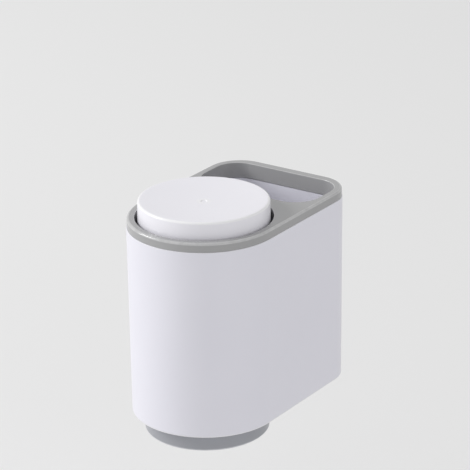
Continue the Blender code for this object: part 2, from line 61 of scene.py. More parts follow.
# Adhesive film: a thin clear sheet with round corners, die-cut from a roll. Its sticky back stays
# on the wall for good, and it is a little cloudy where the glue behind it is thicker.
FILM_CORNER = 0.006
FILM_COLOUR = (0.80, 0.84, 0.85)
FILM_ROUGHNESS = 0.12
CLEAREST, CLOUDIEST = 0.19, 0.25
CLOUD_SCALE = 35
NOISE_LOW, NOISE_HIGH = 0.3, 0.7
CORNER_STEPS = 12
SAME_POINT = 0.000002
STRIP_WIDTH = 0.0004
LEAST_BEND, MOST_BEND = math.radians(5), math.radians(50)
SHADED_SHARP = math.radians(40)


def upright_block(low, high, front_radius, rear_radius, steps=CORNER_STEPS):
    """A block between two corners, with its front and its rear upright edges rounded."""
    shape = bmesh.new()
    corners = [
        shape.verts.new((x, y, low[2]))
        for x, y in ((low[0], low[1]), (high[0], low[1]), (high[0], high[1]), (low[0], high[1]))
    ]
    shape.faces.new(corners)
    for pair, radius in ((corners[:2], front_radius), (corners[2:], rear_radius)):
        if radius > 0:
            bmesh.ops.bevel(
                shape, geom=pair, offset=radius, segments=steps, profile=0.5,
                affect="VERTICES", material=-1,
            )
    bmesh.ops.remove_doubles(shape, verts=shape.verts, dist=SAME_POINT)
    raised = bmesh.ops.extrude_face_region(shape, geom=shape.faces[:])["geom"]
    tops = [item for item in raised if isinstance(item, bmesh.types.BMVert)]
    bmesh.ops.translate(shape, vec=(0, 0, high[2] - low[2]), verts=tops)
    bmesh.ops.recalc_face_normals(shape, faces=shape.faces)
    return shape


def wall_block(low, high, radius, steps=CORNER_STEPS):
    """A block between two corners, with the edges that stand off the wall rounded."""
    shape = upright_block(
        (low[0], low[2], -high[1]), (high[0], high[2], -low[1]), radius, radius, steps,
    )
    quarter_turn = Matrix(((1, 0, 0), (0, 0, -1), (0, 1, 0)))
    bmesh.ops.rotate(shape, cent=(0, 0, 0), matrix=quarter_turn, verts=shape.verts)
    return shape


def sharp_edges(shape, where):
    """The edges that turn a real corner and have both ends where the test says."""
    return [
        edge for edge in shape.edges
        if edge.is_manifold and edge.calc_face_angle() > MOST_BEND
        and all(where(vert.co) for vert in edge.verts)
    ]


def round_over(shape, edges, radius, segments=3):
    """Rounds edges to a radius."""
    bmesh.ops.bevel(
        shape, geom=edges, offset=radius, segments=segments, profile=0.5,
        affect="EDGES", material=-1,
    )


def mark_roundings(shape):
    """Marks the vertices inside rounded edges, where every face is a narrow strip."""
    marks = shape.verts.layers.float.new("rounded")
    strips = {
        face for face in shape.faces
        if face.calc_area() < STRIP_WIDTH * max(edge.calc_length() for edge in face.edges)
    }
    for vert in shape.verts:
        bend = max((edge.calc_face_angle(0) for edge in vert.link_edges), default=0)
        rounded = LEAST_BEND < bend < MOST_BEND and strips.issuperset(vert.link_faces)
        vert[marks] = 1.0 if rounded else 0.0


def as_piece(name, shape, material, body, slot, *nodes):
    """Makes a closed shape the piece that stands for its CAD nodes and moves with their body."""
    bmesh.ops.recalc_face_normals(shape, faces=shape.faces)
    mark_roundings(shape)
    mesh = bpy.data.meshes.new(name)
    shape.to_mesh(mesh)
    shape.free()
    mesh.shade_smooth()
    mesh.set_sharp_from_angle(angle=SHADED_SHARP)
    mesh.materials.append(material)
    piece = bpy.data.objects.new(name, mesh)
    bpy.context.scene.collection.objects.link(piece)
    flats = piece.modifiers.new("flat faces stay flat", "WEIGHTED_NORMAL")
    flats.keep_sharp = True
    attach(piece, body)
    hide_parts(*nodes)
    return piece


def blank_material(name, roughness):
    """A material with its shader, a list of its nodes and a way to join them."""
    material = bpy.data.materials.new(name)
    material.use_nodes = True
    shader = material.node_tree.nodes["Principled BSDF"]
    shader.inputs["Roughness"].default_value = roughness
    return material, shader, material.node_tree.nodes, material.node_tree.links


def ranged(nodes, low, high, start, end):
    """A node that takes a number from one range into another."""
    node = nodes.new("ShaderNodeMapRange")
    for label, value in zip(("From Min", "From Max", "To Min", "To Max"), (low, high, start, end)):
        node.inputs[label].default_value = value
    return node


def clear_film():
    """Clear sheet over glue of uneven thickness."""
    material, shader, nodes, links = blank_material("clear_wall_film", FILM_ROUGHNESS)
    place = nodes.new("ShaderNodeTexCoord")
    clouds = nodes.new("ShaderNodeTexNoise")
    clouds.inputs["Scale"].default_value = CLOUD_SCALE
    haze = ranged(nodes, NOISE_LOW, NOISE_HIGH, CLEAREST, CLOUDIEST)
    links.new(place.outputs["Object"], clouds.inputs["Vector"])
    links.new(clouds.outputs["Fac"], haze.inputs["Value"])
    links.new(haze.outputs["Result"], shader.inputs["Alpha"])
    shader.inputs["Base Color"].default_value = (*FILM_COLOUR, 1)
    return material


film_low, film_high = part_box("adhesive_film")
film_shape = wall_block(film_low, film_high, FILM_CORNER)
as_piece("clear_wall_film", film_shape, clear_film(), "wall_mount", "clear_film", "adhesive_film")


# Hook plate: one small moulding in natural, slightly milky ABS. It is bonded to the film for
# good, and the two square-headed lugs on its front carry the holder.
PLATE_CORNER = 0.004
PLATE_EDGE = 0.0004
PLATE_THICKNESS = 0.0014
PLATE_COLOURS = ((0.74, 0.74, 0.72), (0.79, 0.79, 0.775))
PLATE_ROUGHNESSES = (0.32, 0.42)
# Lighter colour painted along the rounded edges as a highlight.
PLATE_EDGE_HIGHLIGHT = (0.84, 0.84, 0.83)
PLATE_TOOTH = 0.00004
LUG_SPACING = 0.018
LUG_HEAD = 0.010
LUG_HEAD_THICKNESS = 0.0014
LUG_HEAD_CORNER, LUG_HEAD_STEPS = 0.0012, 5
LUG_NECK_WIDTH, LUG_NECK_HEIGHT, LUG_NECK_STEPS = 0.0050, 0.0080, 3
TOOTH_SCALE, WAVE_SCALE, PATCH_SCALE, BREAK_SCALE = 2600, 90, 26, 320
TOOTH_WEIGHT, TOOTH_STRENGTH = 0.35, 0.5
# The least share of the painted edge highlight along a rounded edge.
LEAST_EDGE_HIGHLIGHT = 0.6


def with_solids(operation, shape, *others):
    """Adds closed solids to a shape, or cuts them out of it, exactly."""
    bench = []
    for solid in (shape, *others):
        mesh = bpy.data.meshes.new("on_bench")
        solid.to_mesh(mesh)
        solid.free()
        bench.append(bpy.data.objects.new("on_bench", mesh))
        bpy.context.scene.collection.objects.link(bench[-1])
    for other in bench[1:]:
        step = bench[0].modifiers.new("solid", "BOOLEAN")
        step.operation = operation
        step.object = other
        step.solver = "EXACT"
    made = bmesh.new()
    made.from_object(bench[0], bpy.context.evaluated_depsgraph_get())
    for done in bench:
        bpy.data.meshes.remove(done.data)
    bmesh.ops.remove_doubles(made, verts=made.verts, dist=SAME_POINT)
    return made


def new_group(name, inputs, outputs):
    """An empty shader node group with named numbers going in and coming out."""
    group = bpy.data.node_groups.new(name, "ShaderNodeTree")
    for label, value in inputs:
        socket = group.interface.new_socket(label, in_out="INPUT", socket_type="NodeSocketFloat")
        socket.default_value = value
    for label in outputs:
        group.interface.new_socket(label, in_out="OUTPUT", socket_type="NodeSocketFloat")
    return group, group.nodes.new("NodeGroupInput"), group.nodes.new("NodeGroupOutput")


def moulded_skin_group():
    """The skin of a moulding: a fine tooth over slow waves, and broad patches in its polish."""
    group, given, result = new_group(
        "moulded_skin",
        (("Tooth Scale", TOOTH_SCALE), ("Wave Scale", WAVE_SCALE), ("Patch Scale", PATCH_SCALE)),
        ("Height", "Patches"),
    )
    place = group.nodes.new("ShaderNodeTexCoord")
    layers = {}
    for label, detail in (("Tooth Scale", 2), ("Wave Scale", 1), ("Patch Scale", 3)):
        layers[label] = group.nodes.new("ShaderNodeTexNoise")
        layers[label].inputs["Detail"].default_value = detail
        group.links.new(place.outputs["Object"], layers[label].inputs["Vector"])
        group.links.new(given.outputs[label], layers[label].inputs["Scale"])
    height = group.nodes.new("ShaderNodeMath")
    height.operation = "MULTIPLY_ADD"
    height.inputs[1].default_value = TOOTH_WEIGHT
    group.links.new(layers["Tooth Scale"].outputs["Fac"], height.inputs[0])
    group.links.new(layers["Wave Scale"].outputs["Fac"], height.inputs[2])
    group.links.new(height.outputs["Value"], result.inputs["Height"])
    spread = ranged(group.nodes, NOISE_LOW, NOISE_HIGH, 0, 1)
    group.links.new(layers["Patch Scale"].outputs["Fac"], spread.inputs["Value"])
    group.links.new(spread.outputs["Result"], result.inputs["Patches"])
    return group


def painted_edge_highlight_group():
    """A mask of the rounded edges, broken up by noise, along which a highlight is painted."""
    group, given, result = new_group("painted_edge_highlight", (("Break Scale", BREAK_SCALE),), ("Painted Highlight",))
    place = group.nodes.new("ShaderNodeTexCoord")
    rounded = group.nodes.new("ShaderNodeAttribute")
    rounded.attribute_name = "rounded"
    breaks = group.nodes.new("ShaderNodeTexNoise")
    group.links.new(place.outputs["Object"], breaks.inputs["Vector"])
    group.links.new(given.outputs["Break Scale"], breaks.inputs["Scale"])
    broken = ranged(group.nodes, NOISE_LOW, NOISE_HIGH, LEAST_EDGE_HIGHLIGHT, 1)
    group.links.new(breaks.outputs["Fac"], broken.inputs["Value"])
    mask = group.nodes.new("ShaderNodeMath")
    mask.operation = "MULTIPLY"
    group.links.new(rounded.outputs["Fac"], mask.inputs[0])
    group.links.new(broken.outputs["Result"], mask.inputs[1])
    group.links.new(mask.outputs["Value"], result.inputs["Painted Highlight"])
    return group


MOULDED_SKIN = moulded_skin_group()
PAINTED_EDGE_HIGHLIGHT = painted_edge_highlight_group()


def moulded_plastic(name, colours, roughnesses, edge_highlight_colour, tooth_depth):
    """Moulded plastic whose colour and polish drift a little, with a highlight painted along its
    rounded edges.
    """
    material, shader, nodes, links = blank_material(name, roughnesses[0])
    skin = nodes.new("ShaderNodeGroup")
    skin.node_tree = MOULDED_SKIN
    edges = nodes.new("ShaderNodeGroup")
    edges.node_tree = PAINTED_EDGE_HIGHLIGHT
    drift = nodes.new("ShaderNodeMix")
    drift.data_type = "RGBA"
    drift.inputs["A"].default_value = (*colours[0], 1)
    drift.inputs["B"].default_value = (*colours[1], 1)
    # Painted highlight: the rounded edges are mixed towards a lighter edge colour.
    edge_highlighted = nodes.new("ShaderNodeMix")
    edge_highlighted.data_type = "RGBA"
    edge_highlighted.inputs["B"].default_value = (*edge_highlight_colour, 1)
    polish = ranged(nodes, 0, 1, *roughnesses)
    bump = nodes.new("ShaderNodeBump")
    bump.inputs["Distance"].default_value = tooth_depth
    bump.inputs["Strength"].default_value = TOOTH_STRENGTH
    links.new(skin.outputs["Patches"], drift.inputs["Factor"])
    links.new(drift.outputs["Result"], edge_highlighted.inputs["A"])
    links.new(edges.outputs["Painted Highlight"], edge_highlighted.inputs["Factor"])
    links.new(edge_highlighted.outputs["Result"], shader.inputs["Base Color"])
    links.new(skin.outputs["Patches"], polish.inputs["Value"])
    links.new(polish.outputs["Result"], shader.inputs["Roughness"])
    links.new(skin.outputs["Height"], bump.inputs["Height"])
    links.new(bump.outputs["Normal"], shader.inputs["Normal"])
    return material


plate_low, plate_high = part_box("hook_plate")
plate_front = plate_high.y - PLATE_THICKNESS
head_back = plate_low.y + LUG_HEAD_THICKNESS
plate_low.y = plate_front
plate_shape = wall_block(plate_low, plate_high, PLATE_CORNER)
front_edges = sharp_edges(plate_shape, lambda at: at.y < plate_front + SAME_POINT)
round_over(plate_shape, front_edges, PLATE_EDGE)
lugs = []
for side in (-1, 1):
    middle = side * LUG_SPACING / 2
    neck_x, neck_z = LUG_NECK_WIDTH / 2, LUG_NECK_HEIGHT / 2
    lugs.append(wall_block(
        (middle - neck_x, head_back - LUG_HEAD_THICKNESS / 2, -neck_z),
        (middle + neck_x, plate_front + PLATE_THICKNESS / 2, neck_z), PLATE_EDGE, LUG_NECK_STEPS,
    ))
    head = wall_block(
        (middle - LUG_HEAD / 2, head_back - LUG_HEAD_THICKNESS, -LUG_HEAD / 2),
        (middle + LUG_HEAD / 2, head_back, LUG_HEAD / 2), LUG_HEAD_CORNER, LUG_HEAD_STEPS,
    )
    round_over(head, sharp_edges(head, lambda at: True), PLATE_EDGE)
    lugs.append(head)
plate_shape = with_solids("UNION", plate_shape, *lugs)
natural_abs = moulded_plastic(
    "natural_abs_hook_plate", PLATE_COLOURS, PLATE_ROUGHNESSES, PLATE_EDGE_HIGHLIGHT, PLATE_TOOTH,
)
as_piece("natural_hook_plate", plate_shape, natural_abs, "wall_mount", "natural_abs", "hook_plate")


# Outer shell: the white ABS body, moulded in one with a little draft so that it leaves the mould.
# Its thick rear wall is hollowed for the hook plate's lugs, its floor drains through five slots.
SHELL_COLOURS = ((0.791, 0.784, 0.855), (0.806, 0.799, 0.868))
SHELL_ROUGHNESSES = (0.30, 0.37)
# Lighter colour painted along the rounded edges as a highlight.
SHELL_EDGE_HIGHLIGHT = (0.85, 0.85, 0.87)
SHELL_TOOTH = 0.00003
SEAM_TO_COVER = 0.00025
SHELL_DRAFT = 0.00065
SHELL_WALL, SHELL_LIP = 0.0022, 0.0018
REAR_WALL, REAR_LIP = 0.0057, 0.0033
REAR_CORNER = 0.0183
FLOOR_THICKNESS = 0.0025
BOTTOM_EDGE, FLOOR_EDGE, TOP_EDGE = 0.0012, 0.0020, 0.00025
BOTTOM_STEPS, FLOOR_STEPS = 5, 6
LEDGE_Z = 0.0362
FRONT_STEPS = 36
TURN_STEPS = 144
DRIP_HOLE_RADIUS = 0.0330
FLANGE_RING_RADIUS, FLANGE_RING_WALL = 0.0349, 0.0012
FLOOR_BAR_HEIGHT = 0.0017
BAY_FRONT, BAY_REAR, BAY_HALF_WIDTH = -0.0447, -0.0067, 0.0357
BAY_FRONT_CORNER, BAY_REAR_CORNER = 0.0145, 0.0125
DIVIDER_WALL = 0.0012
DIVIDER_END = -0.0262
STOP_RIB_REACH, STOP_RIB_THICKNESS = 0.0018, 0.0012
SLOT_COUNT, SLOT_PITCH, SLOT_WIDTH, SLOT_LENGTH = 5, 0.0095, 0.0032, 0.018
SLOT_STEPS = 10
CUT_EDGE = 0.0003
SEAT_GAP, SLIDE_GAP = 0.0003, 0.0005
LIFT_TRAVEL = 0.013
PLATE_HEIGHT, PLATE_WIDTH = 0.026, 0.036
LIP_THICKNESS = 0.0009
CORE_WIDTH, CORE_PITCH, CORE_DEPTH, CORE_CORNER = 0.0105, 0.013, 0.0036, 0.0015
CORE_STEPS = 6
CORE_ROWS = ((0.0165, 0.0295), (-0.0495, -0.0295))
PAST = 0.001
SNAP_RADIUS, SNAP_LENGTH, SNAP_SPACING, SNAP_Z = 0.0008, 0.008, 0.040, 0.0382
SNAP_STEPS = 20

shell_low, shell_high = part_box("outer_shell")
half_width = shell_high.x
rear_face = shell_high.y
front_face = shell_low.y
cup_y = front_face + half_width
floor_z = shell_low.z + FLOOR_THICKNESS
shell_top = shell_high.z + SEAM_TO_COVER


def turned(profile, steps=TURN_STEPS):
    """A solid turned round the cup's axis, from the (radius, height) corners of its section."""
    shape = bmesh.new()
    corners = [shape.verts.new((radius, cup_y, z)) for radius, z in profile]
    pairs = list(zip(corners, corners[1:]))
    if profile[0][0] > 0:
        pairs.append((corners[-1], corners[0]))
    edges = [shape.edges.new(pair) for pair in pairs]
    bmesh.ops.spin(
        shape, geom=corners + edges, cent=(0, cup_y, 0), axis=(0, 0, 1),
        angle=math.radians(360), steps=steps, use_merge=True,
    )
    bmesh.ops.remove_doubles(shape, verts=shape.verts, dist=SAME_POINT)
    bmesh.ops.recalc_face_normals(shape, faces=shape.faces)
    return shape


def box(low, high):
    """A plain block between two corners."""
    return upright_block(low, high, 0, 0)


def step_down(shape, face, side, rear, z):
    """Sinks a face to a height, leaving one wall thickness at the sides and one at the rear."""
    bmesh.ops.inset_region(shape, faces=[face], thickness=side, use_even_offset=True)
    rear_verts = [vert for vert in face.verts if vert.co.y > cup_y / 2]
    bmesh.ops.translate(shape, vec=(0, side - rear, 0), verts=rear_verts)
    sunk = bmesh.ops.extrude_face_region(shape, geom=[face])["geom"]
    floor = next(item for item in sunk if isinstance(item, bmesh.types.BMFace))
    bmesh.ops.translate(shape, vec=(0, 0, z - floor.calc_center_median().z), verts=floor.verts)
    bmesh.ops.delete(shape, geom=[face], context="FACES_ONLY")
    return floor


def shell_body():
    """The drafted body with its hollow, before anything is cut through it."""
    shape = upright_block(
        shell_low, (half_width, rear_face, shell_top), half_width, REAR_CORNER, FRONT_STEPS,
    )
    top = max(shape.faces, key=lambda face: face.calc_center_median().z)
    ledge = step_down(shape, top, SHELL_LIP, REAR_LIP, LEDGE_Z)
    step_down(shape, ledge, SHELL_WALL - SHELL_LIP, REAR_WALL - REAR_LIP, floor_z)
    foot = [vert for vert in shape.verts if vert.co.z < floor_z + SAME_POINT]
    draft = (1 - SHELL_DRAFT / half_width, 1 - SHELL_DRAFT / (rear_face - front_face), 1)
    bmesh.ops.scale(
        shape, vec=draft, space=Matrix.Translation((0, -rear_face, 0)), verts=foot,
    )
    below = sharp_edges(shape, lambda at: at.z < shell_low.z + SAME_POINT)
    round_over(shape, below, BOTTOM_EDGE, BOTTOM_STEPS)
    inside = sharp_edges(shape, lambda at: abs(at.z - floor_z) < SAME_POINT)
    round_over(shape, inside, FLOOR_EDGE, FLOOR_STEPS)
    round_over(shape, sharp_edges(shape, lambda at: at.z > shell_top - SAME_POINT), TOP_EDGE)
    return shape


def floor_additions():
    """The ring round the drip cup's flange, the bars at the divider's foot and its stop ribs."""
    low, high = floor_z - FLOOR_THICKNESS / 2, floor_z + FLOOR_BAR_HEIGHT
    inner, outer = FLANGE_RING_RADIUS, FLANGE_RING_RADIUS + FLANGE_RING_WALL
    bar_end = BAY_HALF_WIDTH - BAY_FRONT_CORNER
    divider_front = BAY_FRONT - DIVIDER_WALL - SEAT_GAP
    bar_front = BAY_FRONT + SEAT_GAP
    made = [
        turned([(outer, high), (outer, low), (inner, low), (inner, high)]),
        box((-bar_end, cup_y + (inner + outer) / 2, low), (bar_end, divider_front, high)),
        box((-bar_end, bar_front, low), (bar_end, bar_front + DIVIDER_WALL, high)),
    ]
    wall_inside = half_width - SHELL_DRAFT - SHELL_WALL
    rib_front = DIVIDER_END + SEAT_GAP
    ribs = box(
        (-wall_inside - SHELL_WALL / 2, rib_front, low),
        (STOP_RIB_REACH - wall_inside, rib_front + STOP_RIB_THICKNESS, LEDGE_Z - SEAT_GAP),
    )
    whole = ribs.verts[:] + ribs.edges[:] + ribs.faces[:]
    bmesh.ops.mirror(ribs, geom=whole, axis="X", merge_dist=-1)
    bmesh.ops.recalc_face_normals(ribs, faces=ribs.faces)
    made.append(ribs)
    return made


def snap_beads(radius, length):
    """Four round beads along the flat sides, which click the cover's skirt into the shell."""
    middle = (cup_y + rear_face - REAR_CORNER) / 2
    beads = []
    for side in (-1, 1):
        for step in (-0.5, 0.5):
            at = (side * (half_width - SHELL_LIP - SEAT_GAP), middle + step * SNAP_SPACING, SNAP_Z)
            place = Matrix.Translation(at) @ Matrix.Rotation(math.radians(90), 4, "X")
            bead = bmesh.new()
            bmesh.ops.create_cone(
                bead, cap_ends=True, segments=SNAP_STEPS, radius1=radius, radius2=radius,
                depth=length, matrix=place,
            )
            round_over(bead, sharp_edges(bead, lambda spot: True), radius / 2)
            beads.append(bead)
    return beads


def openings_below():
    """The drip cup's hole and the drain slots."""
    low, high = shell_low.z - PAST, floor_z + PAST
    cutters = [turned([(0, low), (DRIP_HOLE_RADIUS, low), (DRIP_HOLE_RADIUS, high), (0, high)])]
    middle = (BAY_FRONT + BAY_REAR) / 2
    for index in range(SLOT_COUNT):
        x = (index - (SLOT_COUNT - 1) / 2) * SLOT_PITCH
        cutters.append(upright_block(
            (x - SLOT_WIDTH / 2, middle - SLOT_LENGTH / 2, low),
            (x + SLOT_WIDTH / 2, middle + SLOT_LENGTH / 2, high),
            SLOT_WIDTH / 2, SLOT_WIDTH / 2, SLOT_STEPS,
        ))
    return cutters


def hook_recess():
    """The hollow that drops over the hook plate, with its two keyhole slots."""
    lip_back = rear_face - PLATE_THICKNESS - SEAT_GAP
    lip_front = lip_back - LIP_THICKNESS
    pocket_front = lip_front - SEAT_GAP - LUG_HEAD_THICKNESS - SEAT_GAP
    half = PLATE_WIDTH / 2 + SLIDE_GAP
    top = PLATE_HEIGHT / 2 + SLIDE_GAP
    cutters = [box((-half, lip_back, -top - LIFT_TRAVEL), (half, rear_face + PAST, top))]
    head_x, head_z = LUG_HEAD / 2 + SLIDE_GAP, LUG_HEAD / 2
    neck_x = LUG_NECK_WIDTH / 2 + SLIDE_GAP
    low = -head_z - LIFT_TRAVEL - SLIDE_GAP
    for side in (-1, 1):
        x = side * LUG_SPACING / 2
        cutters += [
            box((x - head_x, pocket_front, low), (x + head_x, lip_front, head_z + SLIDE_GAP)),
            wall_block(
                (x - head_x, lip_front - PAST, low),
                (x + head_x, lip_back + PAST, head_z - LIFT_TRAVEL + SLIDE_GAP),
                LUG_HEAD_CORNER, LUG_HEAD_STEPS,
            ),
            wall_block(
                (x - neck_x, lip_front - PAST, -head_z - LIFT_TRAVEL),
                (x + neck_x, lip_back + PAST, LUG_NECK_HEIGHT / 2 + SEAT_GAP),
                PLATE_EDGE, LUG_NECK_STEPS,
            ),
        ]
    return cutters


def rear_cores():
    """The moulder's hollows that keep the thick rear wall from sinking."""
    cutters = []
    for low, high in CORE_ROWS:
        for step in (-1, 0, 1):
            x = step * CORE_PITCH
            cutters.append(wall_block(
                (x - CORE_WIDTH / 2, rear_face - CORE_DEPTH, low),
                (x + CORE_WIDTH / 2, rear_face + PAST, high), CORE_CORNER, CORE_STEPS,
            ))
    return cutters


shell_shape = with_solids("UNION", shell_body(), *floor_additions())
shell_shape = with_solids(
    "DIFFERENCE", shell_shape, *openings_below(), *hook_recess(), *rear_cores(),
    *snap_beads(SNAP_RADIUS + SEAT_GAP, SNAP_LENGTH + 2 * SEAT_GAP),
)
cuts_below = sharp_edges(shell_shape, lambda at: at.z < shell_low.z + SAME_POINT)
round_over(shell_shape, cuts_below, CUT_EDGE)
cuts_behind = sharp_edges(shell_shape, lambda at: at.y > rear_face - SAME_POINT)
round_over(shell_shape, cuts_behind, CUT_EDGE)
white_abs = moulded_plastic(
    "white_abs_shell", SHELL_COLOURS, SHELL_ROUGHNESSES, SHELL_EDGE_HIGHLIGHT, SHELL_TOOTH,
)
as_piece("white_outer_shell", shell_shape, white_abs, "holder", "white_abs", "outer_shell")


# Divider: a thin bent wall of the same white ABS. It slides down between the bars on the floor
# and the stop ribs, and the cover's skirt traps it, so brushes stay clear of the tumbler.
DIVIDER_SETBACK = 0.0001


def divider():
    """A strip from floor to skirt, bent round two corners, that is then given its wall."""
    low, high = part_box("divider_wall")
    shape = bmesh.new()
    half, front = high.x, low.y
    path = ((-half, high.y), (-half, front), (half, front), (half, high.y))
    verts = [shape.verts.new((x, y, low.z)) for x, y in path]
    for pair in zip(verts, verts[1:]):
        shape.edges.new(pair)
    bmesh.ops.bevel(
        shape, geom=verts[1:3], offset=BAY_FRONT_CORNER + DIVIDER_SETBACK + DIVIDER_WALL,
        segments=CORNER_STEPS, profile=0.5, affect="VERTICES", material=-1,
    )
    raised = bmesh.ops.extrude_edge_only(shape, edges=shape.edges[:])["geom"]
    tops = [item for item in raised if isinstance(item, bmesh.types.BMVert)]
    bmesh.ops.translate(shape, vec=(0, 0, high.z - low.z), verts=tops)
    bmesh.ops.recalc_face_normals(shape, faces=shape.faces)
    bmesh.ops.solidify(shape, geom=shape.faces[:], thickness=DIVIDER_WALL)
    return shape


divider_shape = divider()
as_piece("white_divider", divider_shape, white_abs, "holder", "white_abs", "divider_wall")


# Top cover: rim, deck and skirt in one grey ABS moulding, polished, which snaps into the shell.
# A round hole takes the tumbler, and the wide opening behind it takes brushes and a tube.
COVER_COLOURS = ((0.368, 0.368, 0.372), (0.384, 0.384, 0.388))
COVER_ROUGHNESSES = (0.15, 0.21)
# Lighter colour painted along the rounded edges as a highlight.
COVER_EDGE_HIGHLIGHT = (0.56, 0.56, 0.565)
COVER_TOOTH = 0.000006
BAND_LOW = 0.0401
COVER_INSET = 0.0003
COVER_TOP_EDGE, COVER_LOW_EDGE, OPENING_EDGE = 0.0013, 0.0002, 0.0004
COVER_TOP_STEPS, OPENING_STEPS, BAY_STEPS = 8, 4, 24
DECK_THICKNESS = 0.0024
DECK_HOLLOW_START = 0.012
SKIRT_WALL = 0.0022
WELL_RADIUS = 0.0357
DECK_RIB_WIDTH, DECK_RIB_DEPTH, DECK_RIB_SPACING = 0.0012, 0.0050, 0.052
SKIRT_EDGE = 0.0003

cover_low, cover_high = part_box("top_cover")
rim_z = cover_high.z


def bay_block(outset, low, high):
    """The room of the brush bay between two heights, grown by an outset."""
    return upright_block(
        (-BAY_HALF_WIDTH - outset, BAY_FRONT - outset, low),
        (BAY_HALF_WIDTH + outset, BAY_REAR + outset, high),
        BAY_FRONT_CORNER + outset, BAY_REAR_CORNER + outset, BAY_STEPS,
    )


def top_cover():
    """The rim with its skirt, hollowed under the deck and opened for tumbler and brushes."""
    skirt_side, skirt_rear = SHELL_LIP + SEAT_GAP, REAR_LIP + SEAT_GAP
    rim_half = half_width - COVER_INSET
    rim = upright_block(
        (-rim_half, front_face + COVER_INSET, BAND_LOW), (rim_half, rear_face - COVER_INSET, rim_z),
        rim_half, REAR_CORNER - COVER_INSET, FRONT_STEPS,
    )
    outside = sharp_edges(rim, lambda at: at.z > rim_z - SAME_POINT)
    round_over(rim, outside, COVER_TOP_EDGE, COVER_TOP_STEPS)
    round_over(rim, sharp_edges(rim, lambda at: at.z < BAND_LOW + SAME_POINT), COVER_LOW_EDGE)
    skirt_half = half_width - skirt_side
    skirt = upright_block(
        (-skirt_half, front_face + skirt_side, cover_low.z),
        (skirt_half, rear_face - skirt_rear, rim_z - DECK_THICKNESS),
        skirt_half, REAR_CORNER - skirt_side, FRONT_STEPS,
    )
    rim = with_solids("UNION", rim, skirt, *snap_beads(SNAP_RADIUS, SNAP_LENGTH))
    under = rim_z - DECK_THICKNESS
    hollow = box(
        (-WELL_RADIUS, cup_y + DECK_HOLLOW_START, cover_low.z - PAST),
        (WELL_RADIUS, BAY_FRONT + BAY_FRONT_CORNER, under),
    )
    hollow = with_solids(
        "DIFFERENCE", hollow, bay_block(SKIRT_WALL, cover_low.z - 2 * PAST, rim_z),
    )
    rim = with_solids("DIFFERENCE", rim, hollow)
    ribs = []
    for side in (-1, 1):
        x = side * DECK_RIB_SPACING / 2
        ribs.append(box(
            (x - DECK_RIB_WIDTH / 2, cup_y, under - DECK_RIB_DEPTH),
            (x + DECK_RIB_WIDTH / 2, BAY_FRONT, rim_z - DECK_THICKNESS / 2),
        ))
    rim = with_solids("UNION", rim, *ribs)
    low, high = cover_low.z - PAST, rim_z + PAST
    well = turned([(0, low), (WELL_RADIUS, low), (WELL_RADIUS, high), (0, high)])
    rim = with_solids("DIFFERENCE", rim, well, bay_block(0, low, high))
    openings = sharp_edges(rim, lambda at: at.z > rim_z - SAME_POINT)
    round_over(rim, openings, OPENING_EDGE, OPENING_STEPS)
    round_over(rim, sharp_edges(rim, lambda at: at.z < cover_low.z + SAME_POINT), SKIRT_EDGE)
    return rim


cover_shape = top_cover()
grey_abs = moulded_plastic(
    "grey_abs_cover", COVER_COLOURS, COVER_ROUGHNESSES, COVER_EDGE_HIGHLIGHT, COVER_TOOTH,
)
as_piece("grey_top_cover", cover_shape, grey_abs, "holder", "grey_abs", "top_cover")


# Drip cup: a round polypropylene moulding in cool grey. It drops in from above, hangs by its
# flange through the hole in the floor, and six pads keep the tumbler's mouth off the flange.
CUP_COLOURS = ((0.333, 0.341, 0.370), (0.353, 0.361, 0.391))
CUP_ROUGHNESSES = (0.26, 0.34)
# Lighter colour painted along the rounded edges as a highlight.
CUP_EDGE_HIGHLIGHT = (0.60, 0.61, 0.645)
CUP_TOOTH = 0.00003
CUP_WALL = 0.0016
CUP_RADIUS = 0.0327
CUP_BOTTOM_EDGE, CUP_SMALL_EDGE = 0.0012, 0.0003
CUP_INSIDE_STEPS, CUP_BOTTOM_STEPS, CUP_SMALL_STEPS = 5, 6, 3
CUP_FOOT_RING, CUP_FOOT_RECESS = 0.0045, 0.0003
FLANGE_THICKNESS = 0.0014
PAD_COUNT, PAD_LENGTH, PAD_WIDTH = 6, 0.009, 0.0022


def ring_edges(shape, radius, z):
    """The edges of one turned ring, at a radius and a height."""
    found = []
    for edge in shape.edges:
        spots = [vert.co for vert in edge.verts]
        if all(
            abs(spot.z - z) < SAME_POINT
            and abs(math.hypot(spot.x, spot.y - cup_y) - radius) < SAME_POINT
            for spot in spots
        ):
            found.append(edge)
    return found


